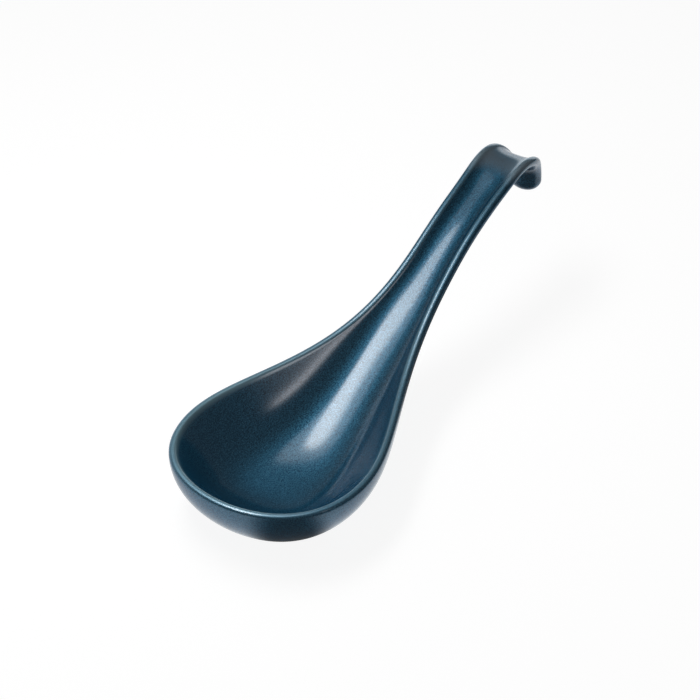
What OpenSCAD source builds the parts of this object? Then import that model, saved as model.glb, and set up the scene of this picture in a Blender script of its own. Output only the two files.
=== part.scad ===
// Porcelain soup spoon with a hooked handle, cast in one piece and glazed all over but for its foot.
// X runs along the spoon towards the handle, Y runs across it and Z is up.
// The origin is the centre of the ground foot, on the table. The XZ plane is the mirror plane.
// Places along the spoon are measured on the lip line, from the widest point of the bowl.

/* [Bowl] */
// Width of the clay over the lips at the widest point
bowl_w = 53.8; // [46:0.2:62]
// From the widest point to the tip of the bowl
bowl_front = 25.8; // [23:0.2:30]
// How full the outline is beside the tip, where 0 is a plain ellipse
tip_share = 0.11; // [0:0.01:0.2]
// Height of the lip over the table
lip_h = 17.8; // [15:0.2:22]
// Thickness of the clay under the deepest point of the hollow
floor_t = 3; // [2.4:0.2:5]
// Slope of the inner wall just under the lip, in degrees
bowl_wall_angle = 50; // [44:1:60]
// Thickness of the rounded lip
lip_t = 1.6; // [1.4:0.1:2.4]
// How round the lip and the handle's edges are: 1 is round, and less has a flatter top with tighter corners
lip_share = 0.75; // [0.5:0.05:1]
// Where the outline turns from the round bowl into the neck
shoulder_at = 27.4; // [25:0.2:32]
// Width of the spoon at that turn
shoulder_w = 38.2; // [34:0.2:42]
// How fast the outline closes at that turn, in degrees from the centre line
shoulder_angle = 22.5; // [18:0.5:27]

/* [Handle] */
// Where the handle is narrowest
waist_at = 96; // [88:1:102]
// Width of the handle there
waist_w = 13.6; // [12:0.2:18]
// Where the lip line starts to rise
rise_from = 0; // [0:1:8]
// Where the lip line has reached the slope of the handle
rise_to = 92; // [82:1:98]
// Slope of the handle, in degrees
rise_angle = 29; // [22:1:36]
// How much the handle droops before the hook, in degrees
droop_angle = 11; // [0:1:14]
// Length of that droop
droop_l = 36; // [20:1:40]
// Depth of the trough that runs along the handle
trough_d = 1.8; // [1.4:0.1:2.6]
// Depth of the trough on the crest of the hook and along the tongue
crest_trough_d = 1.2; // [0.8:0.1:2]
// Slope of the trough's sides at the edge, in degrees
trough_angle = 47; // [40:1:54]
// Thickness of the clay under the trough
handle_t = 2.6; // [2.2:0.1:4]
// Thickness of the handle's raised edges
edge_t = 1.8; // [1.4:0.1:2.4]
// Where the bowl's hollow has become the handle's trough
hollow_to = 70.6; // [64:0.2:80]

/* [Hook] */
// Where the hook starts to turn
hook_from = 106; // [102:1:118]
// Length over which the turn builds up
hook_lead = 12; // [8:0.5:16]
// Radius of the hook along the lip line
hook_r = 13.1; // [11:0.1:15]
// How far the hook turns over, in degrees
hook_angle = 107; // [90:1:125]
// Width of the spoon on the crest of the hook
crest_w = 14.4; // [12:0.2:18]
// Width of the tongue where its rounded end begins
tongue_w = 10.2; // [8.6:0.2:14]
// Length of the tongue's rounded end
tongue_l = 4; // [3:0.2:7]

/* [Foot and glaze] */
// From the widest point back to the rear end of the ground foot
foot_to = 28; // [25:1:34]
// Depth that is ground off the round belly to make the foot
foot_cut = 2.6; // [1.6:0.1:3.2]
// Where the belly has become the back of the handle
back_to = 74; // [68:1:88]
// Thickness of the glaze
glaze_t = 0.3; // [0.2:0.05:0.5]
// Distance from the rear end of the foot to the glaze
glaze_gap = 3.6; // [3:0.2:6]

/* [Hidden] */

// Shares that set how flat the hollow's floor and how straight its walls are, in the bowl and on the handle
bowl_floor_share = 0.89;
handle_floor_share = 0.57;
bowl_wall_share = 0.75;
handle_wall_share = 0.785;
// How much of the round bowl's rise the floor has behind the widest point
floor_rise_share = 0.1;
// Power of the outer section's curve: 1 is an ellipse, less is fuller
belly_share = 1;
back_share = 0.9;
// How fast the foot closes at its rear end
foot_power = 4;
// Places where the raised section starts to lean with the handle and has its full lean
lean_from = foot_to + glaze_gap;
lean_to = rise_to;
// Counts of rings and points
tip_rings = 9;
foot_rings = 8;
neck_rings = 13;
handle_rings = 6;
hook_rings = 12;
end_rings = 4;
hollow_points = 7;
lip_points = 6;
belly_points = 8;
path_steps = 400;

half_w = bowl_w / 2;
bowl_depth = lip_h - floor_t;
crest_at = hook_from + hook_lead;
path_l = hook_from + hook_lead / 2 + hook_angle * PI / 180 * hook_r;

// Quintic curve through a value, a slope and a bend at each end. s runs from a to b.
function run(s, a, b, from, to) =
    let (l = b - a, t = min(max((s - a) / l, 0), 1), t3 = pow(t, 3), t4 = pow(t, 4), t5 = pow(t, 5))
    from[0] * (1 - 10 * t3 + 15 * t4 - 6 * t5) + to[0] * (10 * t3 - 15 * t4 + 6 * t5)
    + from[1] * l * (t - 6 * t3 + 8 * t4 - 3 * t5) + to[1] * l * (-4 * t3 + 7 * t4 - 3 * t5)
    + from[2] * l * l * (t * t - 3 * t3 + 3 * t4 - t5) / 2 + to[2] * l * l * (t3 - 2 * t4 + t5) / 2;

function ease(s, a, b) = run(s, a, b, [0, 0, 0], [1, 0, 0]);
function mix(a, b, k) = a + (b - a) * k;

// Side view: the slope of the lip line, and the line itself by adding up short steps
function hook_turn(s) =
    let (h = max(s - hook_from, 0))
    (h < hook_lead ? h * h / hook_lead / 2 : h - hook_lead / 2) / hook_r * 180 / PI;
function slope(s) =
    rise_angle * ease(s, rise_from, rise_to)
    - droop_angle * ease(s, hook_from - droop_l, hook_from) - hook_turn(s);
path_step = path_l / path_steps;
path = [
    for (i = 0, p = [0, 0, lip_h]; i <= path_steps; i = i + 1,
        p = p + path_step * [1, cos(slope(p[0] + path_step / 2)), sin(slope(p[0] + path_step / 2))])
    p
];
path_x = [for (p = path) [p[0], p[1]]];
path_z = [for (p = path) [p[0], p[2]]];
function lean(s) = slope(s) * ease(s, lean_from, lean_to);

// Plan view: half the width along the lip line, with one bend at the shoulder
widest = [half_w, 0, -half_w * (1 - 2 * tip_share) / pow(bowl_front, 2)];
shoulder = [shoulder_w / 2, -tan(shoulder_angle), 0];
waist = [waist_w / 2, 0, 0];
crest = [crest_w / 2, 0, 0];
tongue = [tongue_w / 2, 0, 0];
function half_width(s) =
    s < shoulder_at ? run(s, 0, shoulder_at, widest, shoulder)
    : s < waist_at ? run(s, shoulder_at, waist_at, shoulder, waist)
    : s < crest_at ? run(s, waist_at, crest_at, waist, crest)
    : run(s, crest_at, path_l, crest, tongue);

// Sizes of the cross section along the spoon
function hollow(s) =
    s < waist_at
    ? run(s, 0, hollow_to, [bowl_depth, 0, -floor_rise_share * 2 * bowl_depth / pow(bowl_front, 2)],
        [trough_d, 0, 0])
    : run(s, waist_at, crest_at, [trough_d, 0, 0], [crest_trough_d, 0, 0]);
function lip_r(s) = mix(lip_t, edge_t, ease(s, 0, hollow_to)) / 2;
function to_handle(s) = ease(s, 0, waist_at);
function wall_angle(s) = mix(bowl_wall_angle, trough_angle, to_handle(s));
function floor_share(s) = mix(bowl_floor_share, handle_floor_share, to_handle(s));
function wall_share(s) = mix(bowl_wall_share, handle_wall_share, to_handle(s));
function section_share(s) = mix(belly_share, back_share, ease(s, foot_to, back_to));
foot_end = [
    lookup(foot_to, path_z),
    sin(slope(foot_to)) - foot_power * foot_cut / foot_to,
    -foot_power * (foot_power - 1) * foot_cut / pow(foot_to, 2)
];
function under(s) =
    s < foot_to ? lookup(s, path_z) + foot_cut * (1 - pow(s / foot_to, foot_power))
    : s < waist_at ? run(s, foot_to, back_to, foot_end, [trough_d + handle_t, 0, 0])
    : run(s, waist_at, crest_at, [trough_d + handle_t, 0, 0], [crest_trough_d + handle_t, 0, 0]);

// Angle on the outer section at which it meets the level z
function level_angle(s, z) =
    let (r = lip_r(s), k = (lookup(s, path_z) - z - r) / (under(s) - r))
    k < 1 ? asin(pow(k, 1 / section_share(s))) : 90;
glaze_end = foot_to + glaze_gap;
glaze_z = lookup(glaze_end, path_z) - under(glaze_end);
function glaze_angle(s) = s < glaze_end ? level_angle(s, glaze_z) : 90;
function foot_angle(s) = s < foot_to ? level_angle(s, 0) : 90;

// One station is [place on the lip line, reach along the spoon, reach across it]
stations = concat(
    [for (i = [0:tip_rings - 1]) let (a = 90 * i / tip_rings)
        [0, -bowl_front * cos(a), half_w * sin(a) * (1 + tip_share * pow(cos(a), 2))]],
    [for (i = [0:foot_rings - 1]) let (s = foot_to * sin(90 * i / foot_rings)) [s, 0, half_width(s)]],
    [for (i = [0:1]) let (s = mix(foot_to, glaze_end, i)) [s, 0, half_width(s)]],
    [for (i = [1:neck_rings]) let (s = mix(glaze_end, waist_at, i / neck_rings)) [s, 0, half_width(s)]],
    [for (i = [1:handle_rings]) let (s = mix(waist_at, hook_from, i / handle_rings))
        [s, 0, half_width(s)]],
    [for (i = [1:hook_rings]) let (s = mix(hook_from, path_l, i / hook_rings)) [s, 0, half_width(s)]],
    [for (i = [1:end_rings]) let (a = 90 * i / end_rings)
        [path_l, tongue_l * sin(a), tongue_w / 2 * cos(a)]]
);

// Half a section as [reach from the centre line, height over the lip line]. A skin of thickness g lies on it.
function curve(a, b, c, d, t) =
    pow(1 - t, 3) * a + 3 * pow(1 - t, 2) * t * b + 3 * (1 - t) * t * t * c + pow(t, 3) * d;
// Point of the lip where its surface faces the angle a, from the middle of the lip
function lip_point(a, r, g) =
    let (
        u = pow(abs(cos(a)), 1 / (2 - lip_share)),
        v = pow(abs(sin(a)), 1 / (2 - lip_share)),
        n = norm([u, v])
    )
    [sign(cos(a)) * r * pow(u / n, lip_share) + g * cos(a), r * pow(v / n, lip_share) + g * sin(a)];
function half_section(station, g) =
    let (
        s = station[0],
        reach = norm([station[1], station[2]]),
        r = lip_r(s),
        a = wall_angle(s),
        d = hollow(s) - g,
        lip = [reach - r, -r],
        edge = lip + lip_point(90 + a, r, g),
        rise = edge[1] + d,
        wall = edge - wall_share(s) * rise * [1 / tan(a), 1],
        u = under(s) + g - r,
        e = section_share(s),
        end = glaze_angle(s)
    )
    concat(
        [for (i = [0:hollow_points - 1])
            curve([0, -d], [floor_share(s) * wall[0], -d], wall, edge, i / hollow_points)],
        [for (i = [0:lip_points - 1]) let (q = mix(90 + a, 0, i / lip_points))
            lip + lip_point(q, r, g)],
        [for (i = [0:belly_points]) let (q = end * i / belly_points)
            [(reach + g) * pow(cos(q), e), -r - u * pow(sin(q), e)]]
    );
function foot_section(station) =
    let (s = station[0], reach = norm([station[1], station[2]]), r = lip_r(s), q = foot_angle(s),
        e = section_share(s), n = -r - (under(s) - r) * pow(sin(q), e))
    [[reach * pow(cos(q), e), n], [0, n]];

// The foot reaches from its own front, on the belly's curve, back to foot_to
foot_front = bowl_front * pow(cos(foot_angle(0)), belly_share);
shift = (foot_to - foot_front) / 2;

// Place of a section's point in space. side is 1 on the left and -1 on the right.
function place(station, p, side) =
    let (s = station[0], reach = norm([station[1], station[2]]), a = lean(s),
        along = p[0] * station[1] / reach, across = p[0] * station[2] / reach)
    [
        lookup(s, path_x) + along * cos(a) - p[1] * sin(a) - shift,
        side * across,
        lookup(s, path_z) + along * sin(a) + p[1] * cos(a)
    ];
function left(station, points) = [for (p = points) place(station, p, 1)];
function right(station, points) = [for (p = points) place(station, p, -1)];
function reversed(list) = [for (i = [len(list) - 1:-1:0]) list[i]];

// Rings of the clay run down one half of the section and up the other
clay_rings = [
    for (st = stations) let (half = concat(half_section(st, 0), foot_section(st)))
    concat(left(st, half), reversed(right(st, half)))
];
// Rings of the glaze run over its outer skin to the glaze line and back along the clay
glaze_rings = [
    for (st = stations) let (skin = half_section(st, glaze_t), clay = half_section(st, 0))
    concat(left(st, skin), reversed(left(st, clay)), right(st, clay), reversed(right(st, skin)))
];

// Two triangles between neighbours on two rings. A ring is made of half sections, and every other one runs
// backwards, so its quads are cut the other way: skin, clay, left and right then share one pattern.
// A triangle that has shrunk to a line, or that lies in the mirror plane on its own twin, is left out.
function corner_list(rings) = [for (ring = rings, p = ring) p];
function shrunk(a, b, c) = a == b || b == c || c == a || (a[1] == 0 && b[1] == 0 && c[1] == 0);
function triangles(rings, halves) =
    let (n = len(rings[0]), points = corner_list(rings))
    [for (i = [0:len(rings) - 2], k = [0:n - 1])
        let (a = i * n + k, b = i * n + (k + 1) % n, c = b + n, d = a + n,
            backwards = floor(k * halves / n) % 2 == 1)
        for (f = backwards ? [[a, b, d], [b, c, d]] : [[a, b, c], [a, c, d]])
            if (!shrunk(points[f[0]], points[f[1]], points[f[2]])) f];

module loft(rings, halves) {
    polyhedron(points = corner_list(rings), faces = triangles(rings, halves));
}

module porcelain_body() {
    color("#ddd6c8") loft(clay_rings, 2);
}

module glaze() {
    color("#21465f") loft(glaze_rings, 4);
}

porcelain_body();
glaze();
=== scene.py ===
from math import cos, pi, radians, sin, tan

import bpy
import numpy as np
from mathutils import Matrix, Vector


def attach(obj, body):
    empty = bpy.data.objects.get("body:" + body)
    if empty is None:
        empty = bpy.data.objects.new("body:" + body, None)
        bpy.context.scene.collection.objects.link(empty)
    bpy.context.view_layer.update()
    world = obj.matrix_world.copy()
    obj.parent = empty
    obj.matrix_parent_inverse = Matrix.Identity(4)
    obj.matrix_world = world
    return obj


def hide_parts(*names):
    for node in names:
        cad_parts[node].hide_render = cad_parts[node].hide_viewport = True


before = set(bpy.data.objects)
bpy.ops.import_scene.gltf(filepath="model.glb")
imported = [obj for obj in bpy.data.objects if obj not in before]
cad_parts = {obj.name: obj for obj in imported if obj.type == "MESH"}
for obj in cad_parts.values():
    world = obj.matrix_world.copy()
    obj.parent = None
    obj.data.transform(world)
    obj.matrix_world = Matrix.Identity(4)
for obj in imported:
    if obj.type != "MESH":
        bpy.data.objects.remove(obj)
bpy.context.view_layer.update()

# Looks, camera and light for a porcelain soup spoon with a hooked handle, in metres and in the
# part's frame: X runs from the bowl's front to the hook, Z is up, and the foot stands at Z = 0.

# ---- The camera ----------------------------------------------------------------------------------
# A product photographer's long lens, from in front of the bowl and to its right, well above the
# table. The angle, the distance and the aim come from a fit of the spoon's outline to the
# photograph.

photo_azimuth, photo_elevation = radians(304.08), radians(38.16)
photo_distance = 0.5616
photo_aim = np.array([0.02728, 0.00091, 0.02616])
lens_mm, sensor_mm = 109.6, 36
nearest_seen, farthest_seen = 0.01, 20

to_camera = np.array([
    sin(photo_azimuth) * cos(photo_elevation),
    -cos(photo_azimuth) * cos(photo_elevation),
    sin(photo_elevation),
])


def aimed(place, aim):
    """Matrix of an object at a place whose -Z axis points at the aim:
    Z = (place - aim) / |place - aim|, X = up x Z, Y = Z x X."""
    back = (Vector(place) - Vector(aim)).normalized()
    across = Vector((0, 0, 1)).cross(back).normalized()
    above = back.cross(across)
    turn = Matrix((across, above, back)).transposed().to_4x4()
    return Matrix.Translation(Vector(place)) @ turn


camera_data = bpy.data.cameras.new("photo_camera")
camera_data.lens, camera_data.sensor_width = lens_mm, sensor_mm
camera_data.clip_start, camera_data.clip_end = nearest_seen, farthest_seen
camera = bpy.data.objects.new("photo_camera", camera_data)
camera.matrix_world = aimed(photo_aim + photo_distance * to_camera, photo_aim)
bpy.context.scene.collection.objects.link(camera)
bpy.context.scene.camera = camera

# ---- The fired clay ------------------------------------------------------------------------------
# One slip-cast porcelain body: bowl, neck, troughed handle and hook in a single casting, with a
# flat foot ground under the bowl. It is fine pale clay, bare and matt where the foot was wiped
# before the glaze firing.

mm = 0.001
bowl_width, bowl_front, tip_fullness = 53.8 * mm, 25.8 * mm, 0.11
lip_height, floor_thickness = 17.8 * mm, 3 * mm
lip_thickness, edge_thickness, lip_share = 1.6 * mm, 1.8 * mm, 0.75
shoulder_at, shoulder_width, shoulder_angle = 27.4 * mm, 38.2 * mm, radians(22.5)
waist_at, waist_width = 96 * mm, 13.6 * mm
rise_from, rise_to, rise_angle = 0 * mm, 92 * mm, radians(29)
droop_angle, droop_length = radians(11), 36 * mm
bowl_wall_angle, trough_angle = radians(50), radians(47)
trough_depth, crest_trough_depth, hollow_to = 1.8 * mm, 1.2 * mm, 70.6 * mm
handle_thickness = 2.6 * mm
hook_from, hook_lead, hook_radius, hook_angle = 106 * mm, 12 * mm, 13.1 * mm, radians(107)
crest_width, tongue_width, tongue_length = 14.4 * mm, 10.2 * mm, 4 * mm
foot_to, foot_cut, foot_power, back_to = 28 * mm, 2.6 * mm, 4, 74 * mm
bowl_floor_share, handle_floor_share = 0.89, 0.57
bowl_wall_share, handle_wall_share = 0.75, 0.785
floor_rise_share, belly_share, back_share = 0.1, 1.0, 0.9
glaze_thickness, glaze_gap = 0.3 * mm, 3.6 * mm

bowl_depth = lip_height - floor_thickness
crest_at = hook_from + hook_lead
path_length = hook_from + hook_lead / 2 + hook_angle * hook_radius
glaze_end = foot_to + glaze_gap


def run(s, a, b, start, end):
    """Quintic curve with a value, slope and bend at each end, t = (s - a) / (b - a) held to 0..1:
    v0 (1 - 10 t3 + 15 t4 - 6 t5) + v1 (10 t3 - 15 t4 + 6 t5), and the like for slope and bend."""
    length = b - a
    t = np.clip((s - a) / length, 0, 1)
    t2, t3, t4, t5 = t ** 2, t ** 3, t ** 4, t ** 5
    return (
        start[0] * (1 - 10 * t3 + 15 * t4 - 6 * t5)
        + end[0] * (10 * t3 - 15 * t4 + 6 * t5)
        + start[1] * length * (t - 6 * t3 + 8 * t4 - 3 * t5)
        + end[1] * length * (-4 * t3 + 7 * t4 - 3 * t5)
        + start[2] * length ** 2 * (t2 - 3 * t3 + 3 * t4 - t5) / 2
        + end[2] * length ** 2 * (t3 - 2 * t4 + t5) / 2
    )


def ease(s, a, b):
    """0 before a, 1 after b, and a smooth quintic step between them."""
    return run(s, a, b, (0, 0, 0), (1, 0, 0))


def mixed(a, b, k):
    """a + (b - a) k."""
    return a + (b - a) * k


def slope(s):
    """Slope of the lip line at s along it: it rises to the handle, droops a little and turns over
    in the hook, where the turn is h^2 / (2 lead) and then h - lead / 2, over the hook's radius."""
    h = np.maximum(s - hook_from, 0)
    turn = np.where(h < hook_lead, h ** 2 / hook_lead / 2, h - hook_lead / 2) / hook_radius
    return (
        rise_angle * ease(s, rise_from, rise_to)
        - droop_angle * ease(s, hook_from - droop_length, hook_from) - turn
    )


path_points = 2001
path_s = np.linspace(0, path_length, path_points)
path_step = path_s[1] - path_s[0]
step_slope = slope(path_s[:-1] + path_step / 2)
path_x = np.concatenate([[0], np.cumsum(np.cos(step_slope)) * path_step])
path_z = lip_height + np.concatenate([[0], np.cumsum(np.sin(step_slope)) * path_step])


def line_x(s):
    """Place of the lip line along the spoon: the sum of cos(slope)."""
    return np.interp(s, path_s, path_x)


def line_z(s):
    """Height of the lip line: the lip's height and the sum of sin(slope)."""
    return np.interp(s, path_s, path_z)


def lean(s):
    """Lean of the section with the handle: the slope, eased in behind the foot."""
    return slope(s) * ease(s, glaze_end, rise_to)


def half_width(s):
    """Half the width in plan: quintic runs from the widest point over the shoulder, the waist and
    the crest to the tongue. At the widest point the bend is that of the tip's fan."""
    widest = (bowl_width / 2, 0, -bowl_width / 2 * (1 - 2 * tip_fullness) / bowl_front ** 2)
    shoulder = (shoulder_width / 2, -tan(shoulder_angle), 0)
    waist, crest, tongue = ((width / 2, 0, 0) for width in (waist_width, crest_width, tongue_width))
    return np.select(
        [s < shoulder_at, s < waist_at, s < crest_at],
        [run(s, 0, shoulder_at, widest, shoulder), run(s, shoulder_at, waist_at, shoulder, waist),
         run(s, waist_at, crest_at, waist, crest)],
        run(s, crest_at, path_length, crest, tongue),
    )


def hollow(s):
    """Depth of the hollow under the lip line: the bowl's depth easing to the trough's."""
    bowl_floor = (bowl_depth, 0, -floor_rise_share * 2 * bowl_depth / bowl_front ** 2)
    trough, crest = (trough_depth, 0, 0), (crest_trough_depth, 0, 0)
    return np.where(
        s < waist_at,
        run(s, 0, hollow_to, bowl_floor, trough),
        run(s, waist_at, crest_at, trough, crest),
    )


def under(s):
    """Depth of the underside below the lip line: over the foot it is the lip line's height and
    cut (1 - (s / foot)^power), and from there it runs to the handle's back."""
    foot_end = (
        float(line_z(foot_to)),
        sin(slope(foot_to)) - foot_power * foot_cut / foot_to,
        -foot_power * (foot_power - 1) * foot_cut / foot_to ** 2,
    )
    back = (trough_depth + handle_thickness, 0, 0)
    crest_back = (crest_trough_depth + handle_thickness, 0, 0)
    return np.select(
        [s < foot_to, s < waist_at],
        [line_z(s) + foot_cut * (1 - (s / foot_to) ** foot_power),
         run(s, foot_to, back_to, foot_end, back)],
        run(s, waist_at, crest_at, back, crest_back),
    )


def lip_radius(s):
    """Half the thickness of the rounded edge, from the lip's to the handle's."""
    return mixed(lip_thickness, edge_thickness, ease(s, 0, hollow_to)) / 2


def section_share(s):
    """Power of the outer section's curve: 1 is an ellipse, less is fuller."""
    return mixed(belly_share, back_share, ease(s, foot_to, back_to))


def level_angle(s, z):
    """Angle on the outer section at the level z: asin(k^(1 / e)), with e the section's power and
    k the level's share of the depth."""
    k = (line_z(s) - z - lip_radius(s)) / (under(s) - lip_radius(s))
    return np.arcsin(np.clip(k, 0, 1) ** (1 / section_share(s)))


glaze_level = float(line_z(glaze_end) - under(glaze_end))


def glaze_angle(s):
    """Where the glaze stops on the outer section: at one level round the foot, and behind that at
    the section's lowest point, so that it goes all round."""
    return np.where(s < glaze_end, level_angle(s, glaze_level), pi / 2)


def stations(tip_count, body_steps, end_count):
    """Rows of (place on the lip line, reach along, reach across): a fan round the tip, front cos a
    along and half the width sin a (1 + fullness cos^2 a) across, steps down the spoon, and a fan
    round the tongue."""
    a = np.linspace(0, pi / 2, tip_count, endpoint=False)
    across = bowl_width / 2 * np.sin(a) * (1 + tip_fullness * np.cos(a) ** 2)
    tip = np.stack([0 * a, -bowl_front * np.cos(a), across], axis=1)
    body = np.stack([body_steps, 0 * body_steps, half_width(body_steps)], axis=1)
    a = np.linspace(0, pi / 2, end_count + 1)[1:]
    end = np.stack([
        0 * a + path_length, tongue_length * np.sin(a), tongue_width / 2 * np.cos(a)
    ], axis=1)
    return np.concatenate([tip, body, end])


foot_front = float(bowl_front * np.cos(level_angle(np.zeros(1), 0.0))[0])
shift = (foot_to - foot_front) / 2


def placed(rows, reach, height, side):
    """Section points in space: the station's direction carries the reach, and the section leans
    with the handle, x = X + along cos(lean) - h sin(lean), z = Z + along sin(lean) + h cos(lean).
    The shift puts the foot's middle at X = 0."""
    s, along, across = (rows[:, i:i + 1] for i in range(3))
    full = np.hypot(along, across)
    a = lean(s)
    forward = reach * along / full
    return np.stack([
        line_x(s) + forward * np.cos(a) - height * np.sin(a) - shift,
        side * reach * across / full,
        line_z(s) + forward * np.sin(a) + height * np.cos(a),
    ], axis=2)


def lip_point(a, r, skin):
    """Point of the lip that faces the angle a, from the lip's middle. With e the lip's share,
    u = |cos a|^(1 / (2 - e)), v = |sin a|^(1 / (2 - e)) and n their length, it is r (u / n)^e
    across and r (v / n)^e up, and the skin's thickness along the normal is added."""
    u = np.abs(np.cos(a)) ** (1 / (2 - lip_share))
    v = np.abs(np.sin(a)) ** (1 / (2 - lip_share))
    n = np.hypot(u, v)
    return (
        np.sign(np.cos(a)) * r * (u / n) ** lip_share + skin * np.cos(a),
        r * (v / n) ** lip_share + skin * np.sin(a),
    )


hollow_steps, lip_steps, belly_steps = 34, 12, 30


def half_section(rows, skin):
    """Half of every section as reach and height. The hollow is a Bezier curve from (0, -d) by
    (share wall, -d) and the wall point to the edge; the lip goes round it; the outside is the curve
    (w cos^e q, -r - u sin^e q). The skin lies a given thickness outside the clay."""
    s = rows[:, :1]
    full = np.hypot(rows[:, 1:2], rows[:, 2:3])
    r = lip_radius(s)
    to_handle = ease(s, 0, waist_at)
    a = mixed(bowl_wall_angle, trough_angle, to_handle)
    floor_share = mixed(bowl_floor_share, handle_floor_share, to_handle)
    wall_share = mixed(bowl_wall_share, handle_wall_share, to_handle)
    d = hollow(s) - skin
    edge_reach, edge_height = lip_point(pi / 2 + a, r, skin)
    edge_reach, edge_height = full - r + edge_reach, -r + edge_height
    rise = edge_height + d
    wall_reach = edge_reach - wall_share * rise / np.tan(a)
    wall_height = edge_height - wall_share * rise
    t = np.linspace(0, 1, hollow_steps, endpoint=False)[None]
    b1, b2, b3 = 3 * (1 - t) ** 2 * t, 3 * (1 - t) * t ** 2, t ** 3
    hollow_reach = floor_share * wall_reach * b1 + wall_reach * b2 + edge_reach * b3
    hollow_height = -d * ((1 - t) ** 3 + b1) + wall_height * b2 + edge_height * b3
    q = mixed(pi / 2 + a, 0, np.linspace(0, 1, lip_steps, endpoint=False)[None])
    lip_reach, lip_rise = lip_point(q, r, skin)
    lip_reach, lip_rise = full - r + lip_reach, -r + lip_rise
    q = glaze_angle(s) * np.linspace(0, 1, belly_steps + 1)[None]
    e = section_share(s)
    belly_reach = (full + skin) * np.cos(q).clip(0) ** e
    belly_height = -r - (under(s) + skin - r) * np.sin(q) ** e
    return (
        np.concatenate([hollow_reach, lip_reach, belly_reach], axis=1),
        np.concatenate([hollow_height, lip_rise, belly_height], axis=1),
    )


# Points this near each other are one, and points this near Y = 0 lie in the middle plane
same_point, on_middle = 1e-7, 1e-9


def closed_mesh(name, rings):
    """Object of a mesh of rings of points, each ring closed on itself: a quad, cut in two, between
    each pair of neighbours on two rings. Points that coincide become one, and faces that shrink
    to a line or lie in the spoon's middle plane are dropped. Also gives which points were kept."""
    count, n = rings.shape[:2]
    index = np.arange(count * n).reshape(count, n)
    a, b = index[:-1], np.roll(index[:-1], -1, axis=1)
    c, d = np.roll(index[1:], -1, axis=1), index[1:]
    flat = rings.reshape(-1, 3)
    cells = np.round(flat / same_point).astype(np.int64)
    _, first, same = np.unique(cells, axis=0, return_index=True, return_inverse=True)
    quads = same.reshape(-1)[np.stack([a, b, c, d], axis=2).reshape(-1, 4)]
    halves = np.concatenate([quads[:, [0, 1, 2]], quads[:, [0, 2, 3]]])
    halves = halves[(halves != np.roll(halves, -1, axis=1)).all(axis=1)]
    middle = np.abs(flat[first][:, 1]) < on_middle
    halves = halves[~middle[halves].all(axis=1)]
    mesh = bpy.data.meshes.new(name)
    mesh.vertices.add(len(first))
    mesh.vertices.foreach_set("co", flat[first].ravel())
    mesh.loops.add(halves.size)
    mesh.loops.foreach_set("vertex_index", halves.ravel().astype(np.int32))
    mesh.polygons.add(len(halves))
    mesh.polygons.foreach_set("loop_start", np.arange(0, halves.size, 3, dtype=np.int32))
    mesh.polygons.foreach_set("use_smooth", np.ones(len(halves), dtype=bool))
    mesh.update(calc_edges=True)
    mesh.validate()
    piece = bpy.data.objects.new(name, mesh)
    bpy.context.scene.collection.objects.link(piece)
    return piece, first


tip_rings, foot_rings, bead_rings, handle_rings, hook_rings, tongue_rings = 44, 60, 5, 70, 46, 14
ring_places = np.unique(np.concatenate([
    np.linspace(0, foot_to, foot_rings),
    np.linspace(foot_to, glaze_end, bead_rings),
    np.linspace(glaze_end, hook_from, handle_rings),
    np.linspace(hook_from, path_length, hook_rings),
]))
ring_rows = stations(tip_rings, ring_places, tongue_rings)

clay_reach, clay_height = half_section(ring_rows, 0.0)
foot_places = ring_rows[:, :1]
foot_angle = np.where(foot_places < foot_to, level_angle(foot_places, 0.0), pi / 2)
foot_share, edge_radius = section_share(foot_places), lip_radius(foot_places)
foot_reach = np.hypot(ring_rows[:, 1:2], ring_rows[:, 2:3]) * np.cos(foot_angle) ** foot_share
foot_drop = (under(foot_places) - edge_radius) * np.sin(foot_angle) ** foot_share
foot_height = -edge_radius - foot_drop
bare_reach = np.concatenate([clay_reach, foot_reach, 0 * foot_reach], axis=1)
bare_height = np.concatenate([clay_height, foot_height, foot_height], axis=1)
clay, _ = closed_mesh("fired_clay", np.concatenate([
    placed(ring_rows, bare_reach, bare_height, 1),
    placed(ring_rows, bare_reach, bare_height, -1)[:, ::-1],
], axis=1))


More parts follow.
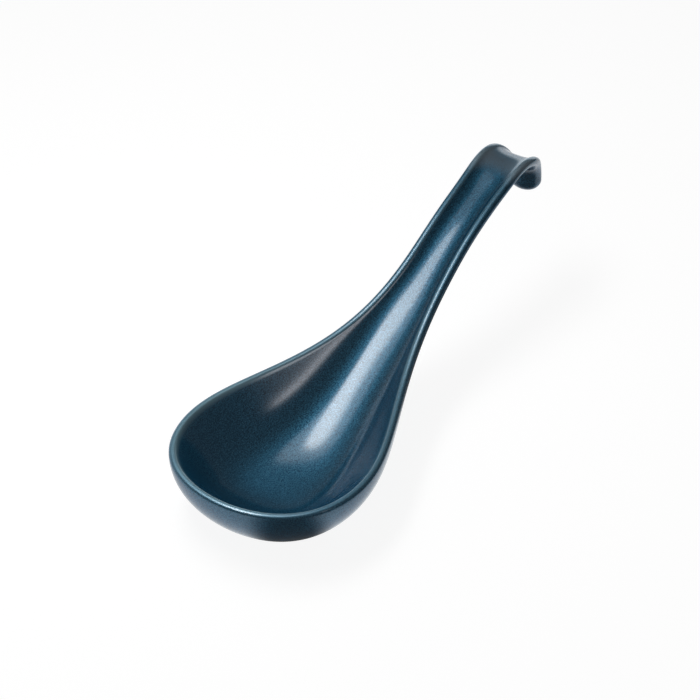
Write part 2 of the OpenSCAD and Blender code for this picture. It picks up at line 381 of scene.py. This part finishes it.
class Shade:
    """A shader socket that adds, takes away and multiplies as a number does."""

    def __init__(self, tree, socket=None):
        self.tree, self.socket = tree, socket

    def node(self, kind, settings=None, out=0, **sockets):
        """A node of a kind, with its settings first and then the values or links of its sockets. A
        socket goes by its name, with _ for a space, or by i and its number."""
        made = self.tree.nodes.new(kind)
        for key, value in (settings or {}).items():
            setattr(made, key, value)
        for key, value in sockets.items():
            numbered = key[0] == "i" and key[1:].isdigit()
            socket = made.inputs[int(key[1:]) if numbered else key.replace("_", " ")]
            if isinstance(value, Shade):
                value.feeds(socket)
            else:
                socket.default_value = value
        return Shade(self.tree, made.outputs[out])

    def feeds(self, socket):
        """A link from here to a node's socket."""
        self.tree.links.new(self.socket, socket)

    def maths(self, operation, a, b):
        """A Math node."""
        return self.node("ShaderNodeMath", {"operation": operation}, i0=a, i1=b)

    def __add__(self, other):
        return self.maths("ADD", self, other)

    def __radd__(self, other):
        return self.maths("ADD", other, self)

    def __sub__(self, other):
        return self.maths("SUBTRACT", self, other)

    def __rsub__(self, other):
        return self.maths("SUBTRACT", other, self)

    def __mul__(self, other):
        return self.maths("MULTIPLY", self, other)

    def __rmul__(self, other):
        return self.maths("MULTIPLY", other, self)

    def held(self, low, high):
        """0 at low, 1 at high and smooth between them: (3 - 2 t) t^2, with
        t = (this - low) / (high - low)."""
        steps = {"interpolation_type": "SMOOTHSTEP"}
        return self.node("ShaderNodeMapRange", steps, Value=self, i1=low, i2=high)

    def blended(self, a, b):
        """The colour a where this is 0 and the colour b where it is 1."""
        colours = {"data_type": "RGBA", "clamp_factor": False}
        return self.node("ShaderNodeMix", colours, out=2, i0=self, i6=a, i7=b)

    def part(self, axis):
        """X, Y or Z of a vector, for an axis of 0, 1 or 2."""
        return self.node("ShaderNodeSeparateXYZ", out=axis, Vector=self)

    def along(self, direction):
        """How far a vector goes in a direction: their dot product."""
        product = {"operation": "DOT_PRODUCT"}
        return self.node("ShaderNodeVectorMath", product, out=1, i0=self, i1=direction)


def new_material(name, **finish):
    """A material, the start of its nodes, the place on the piece, and the shader, which gets the
    finish that is the same all over."""
    material = bpy.data.materials.new(name)
    material.use_nodes = True
    shader = material.node_tree.nodes["Principled BSDF"]
    for key, value in finish.items():
        shader.inputs[key.replace("_", " ")].default_value = value
    start = Shade(material.node_tree)
    return material, start, start.node("ShaderNodeTexCoord", out=3), shader


def linear(red, green, blue):
    """A screen colour of 0 to 255 as light: ((v / 255 + 0.055) / 1.055) ^ 2.4."""
    return tuple(((v / 255 + 0.055) / 1.055) ** 2.4 for v in (red, green, blue)) + (1.0,)


pale_clay, warm_clay = linear(224, 216, 202), linear(213, 204, 189)
clay_speck = linear(176, 164, 146)
clay_cloud_span, clay_speck_span = (0.35, 0.65), (0.66, 0.74)

clay_material, start, where, shader = new_material("bare_porcelain", Roughness=0.78)
grain = start.node("ShaderNodeTexNoise", Vector=where, Scale=2600.0, Detail=3.0, Roughness=0.6)
cloud = start.node("ShaderNodeTexNoise", Vector=where, Scale=140.0, Detail=2.0)
clouded = cloud.held(*clay_cloud_span).blended(pale_clay, warm_clay)
specked = grain.held(*clay_speck_span).blended(clouded, clay_speck)
specked.feeds(shader.inputs["Base Color"])
relief = start.node("ShaderNodeBump", Strength=0.25, Distance=0.04 * mm, Height=grain)
relief.feeds(shader.inputs["Normal"])
clay.data.materials.append(clay_material)
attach(clay, "root")
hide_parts("porcelain_body")

# ---- The glaze -----------------------------------------------------------------------------------
# A satin navy glass coat, about 0.3 mm thick, dipped on and fused to the clay in the second firing.
# It lies deep and blue in the bowl's front, lightened there with painted light, runs thin and pale
# over the lip and the handle's edges, with painted light on them strongest on the left, has a
# painted grey sheen on the hook's crest, and ends in a soft bead just above the foot.

bead_share = 0.05
skin_reach, skin_height = half_section(ring_rows, glaze_thickness)
down_belly = np.linspace(0, 1, belly_steps + 1)[None]
bead = np.clip((down_belly - 1 + bead_share) / bead_share, 0, 1)
near_end = np.where(ring_rows[:, :1] < glaze_end, bead, 0)
thinning = 1 - np.sqrt(1 - near_end ** 2)
belly = slice(-belly_steps - 1, None)
skin_reach[:, belly] = mixed(skin_reach[:, belly], clay_reach[:, belly], thinning)
skin_height[:, belly] = mixed(skin_height[:, belly], clay_height[:, belly], thinning)
glaze, kept = closed_mesh("glaze_coat", np.concatenate([
    placed(ring_rows, skin_reach, skin_height, 1),
    placed(ring_rows, clay_reach, clay_height, 1)[:, ::-1],
    placed(ring_rows, clay_reach, clay_height, -1),
    placed(ring_rows, skin_reach, skin_height, -1)[:, ::-1],
], axis=1))

# How thin the glaze runs, 1 on the crown of the lip and 0 on the walls:
# exp(-((place - crown) / reach)^2), where the place is -1 to 1 over the lip, less than that in the
# hollow and more on the belly.
crown_at, crown_reach = -0.7, 0.95
hollow_middle, belly_end = -45, 25
place_on_half = np.concatenate([
    np.linspace(hollow_middle, 0, hollow_steps, endpoint=False) - 1,
    np.linspace(-1, 1, lip_steps), np.linspace(1, belly_end, belly_steps + 1),
])
crown = np.exp(-((place_on_half - crown_at) / crown_reach) ** 2)
crown_ring = np.concatenate([crown, crown[::-1], crown, crown[::-1]])
thinness = glaze.data.attributes.new("thinness", "FLOAT", "POINT")
thinness.data.foreach_set("value", np.tile(crown_ring, len(ring_rows))[kept].astype(np.float32))

# Colours of the glaze as it lies deeper or thinner, some with painted light in them
deep_navy, light_navy = linear(12, 45, 64), linear(16, 52, 72)
# The pool blue is partly painted light, which lightens the bowl's front
pool_blue_and_light, grain_blue = linear(18, 70, 98), linear(50, 108, 137)
handle_navy, fleck_blue = linear(10, 34, 52), linear(110, 150, 166)
# The crest grey is a painted sheen
# The edge blue is the glaze running thin, brightened with painted light
crest_painted_sheen, thin_edge_blue_and_light = linear(126, 142, 154), linear(124, 158, 172)
fleck_share, handle_share = 0.5, 0.2

# Spans over which they change, in metres along the spoon, up it and across it, and on the noise
pool_and_light_span, handle_span, edge_span = (-0.022, 0.012), (0.02, 0.07), (0.03, 0.07)
dull_span, glossy_span = (0.03, 0.08), (0.094, 0.106)
crest_sheen_span = (0.0438, 0.0462)
painted_light_span, painted_light_slant = (-0.014, 0.012), 0.6
cloud_span, grain_span, fleck_span, gloss_span = (0.3, 0.7), (0.3, 0.7), (0.65, 0.8), (0.3, 0.65)

# How pale the edges, how rough the satin and how strong the gloss, and how much each changes
painted_light_least, edge_loss = 0.5, 0.5
edge_least, edge_cloud = 0.75, 0.5
satin, satin_grain, satin_cloud = 0.42, 0.05, 0.04
gloss_least, handle_gloss_loss = 0.75, 0.55

glaze_material, start, where, shader = new_material(
    "satin_navy_glaze", Metallic=0.78, Specular_IOR_Level=0.0, Specular_Tint=(0.2, 0.5, 0.7, 1),
    Coat_Roughness=0.15, Coat_IOR=1.6)
thin = start.node("ShaderNodeAttribute", {"attribute_name": "thinness"}, out=2)
cloud = start.node("ShaderNodeTexNoise", Vector=where, Scale=90.0, Detail=3.0, Roughness=0.55)
fine = start.node("ShaderNodeTexNoise", Vector=where, Scale=3200.0, Detail=2.0, Roughness=0.6)
peel = start.node("ShaderNodeTexNoise", Vector=where, Scale=900.0, Detail=2.0, Roughness=0.5)
lengthways, across, upward = (where.part(axis) for axis in range(3))

# The navy itself, bluer where it pools and lightened in the bowl's front with painted light, with a
# pale grain in the glass, and darker on the handle
navy = cloud.held(*cloud_span).blended(deep_navy, light_navy)
pooled_and_lit = (1 - lengthways.held(*pool_and_light_span)).blended(navy, pool_blue_and_light)
grainy = fine.held(*grain_span).blended(pooled_and_lit, grain_blue)
handled = (handle_share * lengthways.held(*handle_span)).blended(grainy, handle_navy)
flecked = (fleck_share * fine.held(*fleck_span)).blended(handled, fleck_blue)

# Over the crest a painted grey sheen, and on the edges pale blue where the glaze runs thin, with
# painted light that makes it strongest on the left and front
sheened_crest = upward.held(*crest_sheen_span).blended(flecked, crest_painted_sheen)
slanted = across - painted_light_slant * lengthways
# Painted light on the pale edges, strongest on the left and front of the lip
painted_light_left = painted_light_least + (1 - painted_light_least) * slanted.held(*painted_light_span)
thin_and_lit_edge = thin * painted_light_left * (1 - edge_loss * lengthways.held(*edge_span))
edged = (thin_and_lit_edge * (edge_least + edge_cloud * cloud)).blended(sheened_crest, thin_edge_blue_and_light)
edged.feeds(shader.inputs["Base Color"])

# Satin under a clear gloss, which the grain pits and which is weaker on the handle
rough = satin + satin_grain * fine + satin_cloud * cloud
rough.feeds(shader.inputs["Roughness"])
pitted = gloss_least + (1 - gloss_least) * fine.held(*gloss_span)
dulled = 1 - handle_gloss_loss * lengthways.held(*dull_span)
glassy = pitted * (dulled + handle_gloss_loss * lengthways.held(*glossy_span))
glassy.feeds(shader.inputs["Coat Weight"])
relief = start.node("ShaderNodeBump", Strength=0.3, Distance=0.03 * mm, Height=peel)
relief.feeds(shader.inputs["Normal"])
glaze.data.materials.append(glaze_material)
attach(glaze, "root")
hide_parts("glaze")

# ---- The studio ----------------------------------------------------------------------------------
# A white table that keeps a soft shadow, under a long soft box close over the bowl's left with a
# wider and weaker one beside it, and a third far to the right. The glaze mirrors a dim room with
# white paper low behind the handle and a window on the left.

black, white = (0, 0, 0, 1), (1, 1, 1, 1)
table_size, table_drop = 3.0, 0.05 * mm
corners = np.array([[-1, -1], [1, -1], [1, 1], [-1, 1]]) * table_size / 2
table_mesh = bpy.data.meshes.new("table")
table_mesh.from_pydata(np.c_[corners, np.full(4, -table_drop)].tolist(), [], [[0, 1, 2, 3]])
table = bpy.data.objects.new("table", table_mesh)
bpy.context.scene.collection.objects.link(table)
table_material, start, where, shader = new_material(
    "white_table", Base_Color=(0.85, 0.85, 0.85, 1), Roughness=0.9, Specular_IOR_Level=0.1)
table.data.materials.append(table_material)

# The camera sees most of it as plain white, and the rest as lit, which keeps the shadow
table_glow, white_share = 1.13, 0.8
lit = Shade(start.tree, shader.outputs[0])
camera_ray = start.node("ShaderNodeLightPath", out=0)
plain_white = start.node("ShaderNodeEmission", Color=white, Strength=table_glow)
shown = start.node("ShaderNodeMixShader", i0=camera_ray * white_share, i1=lit, i2=plain_white)

# The glaze mirrors it as a painted reflection, white, with painted shade in front of the bowl,
# under the handle and on the right
painted_shade_least = 0.12
painted_shade_front_direction, painted_shade_front_span = (-0.819, -0.574, 0), (0.86, 0.985)
painted_shade_handle_centre, painted_shade_handle_span = (0.08, -0.01, 0), (0.025, 0.05)
painted_shade_right_span = (-0.085, -0.036)
mirror_ray = start.node("ShaderNodeLightPath", out=3)
outward = start.node("ShaderNodeVectorMath", {"operation": "NORMALIZE"}, i0=where)
from_handle = start.node(
    "ShaderNodeVectorMath", {"operation": "DISTANCE"}, out=1, i0=where, i1=painted_shade_handle_centre)
clear_of_front_shade = 1 - outward.along(painted_shade_front_direction).held(*painted_shade_front_span)
clear = clear_of_front_shade * from_handle.held(*painted_shade_handle_span) * where.part(1).held(*painted_shade_right_span)
# Painted shade in the mirrored table, darkest in front of the bowl, under the handle and on the
# right
reflected_table_colour = (painted_shade_least + (1 - painted_shade_least) * clear).blended(black, white)
painted_table_reflection = start.node("ShaderNodeEmission", Color=reflected_table_colour, Strength=1.0)
mirrored = start.node("ShaderNodeMixShader", i0=mirror_ray, i1=shown, i2=painted_table_reflection)
mirrored.feeds(start.tree.nodes["Material Output"].inputs["Surface"])


def soft_box(name, place, width, height, watts, colour=(1, 1, 1)):
    """An oval lamp at a place, turned to the spoon."""
    lamp = bpy.data.lights.new(name, "AREA")
    lamp.shape, lamp.size, lamp.size_y = "ELLIPSE", width, height
    lamp.energy, lamp.color = watts, colour
    box = bpy.data.objects.new(name, lamp)
    box.matrix_world = aimed(place, photo_aim)
    bpy.context.scene.collection.objects.link(box)


cool_white = (0.95, 0.95, 1.0)
soft_box("key_box", (-0.006, 0.101, 0.30), width=0.24, height=0.068, watts=0.375)
soft_box("key_skirt", (0.045, 0.115, 0.30), width=0.24, height=0.16, watts=0.14)
soft_box("right_box", (-0.04, -1.0, 0.70), width=0.25, height=0.07, watts=0.335, colour=cool_white)

# The room: dim, with the paper low behind and the window's light growing as the fourth power of y
room_glow, paper_glow, window_glow = 0.11, 1.3, 0.55
paper_direction, paper_span, paper_top = (0.83, 0.56, 0), (0.65, 0.95), (0.12, 0.35)
window_top, window_loss = (0.2, 0.6), 0.6
world = bpy.data.worlds.new("room")
world.use_nodes = True
bpy.context.scene.world = world
start = Shade(world.node_tree)
direction = start.node("ShaderNodeTexCoord", out=0)
height = direction.part(2)
left = start.maths("MAXIMUM", direction.part(1), 0.0)
behind = direction.along(paper_direction)
paper = paper_glow * behind.held(*paper_span) * (1 - height.held(*paper_top))
window = window_glow * left * left * left * left * (1 - window_loss * height.held(*window_top))
room = (room_glow + paper + window).blended(black, white)
backdrop = start.node("ShaderNodeLightPath", out=0).blended(room, white)
backdrop.feeds(world.node_tree.nodes["Background"].inputs["Color"])

bpy.context.scene.view_settings.view_transform = "Standard"
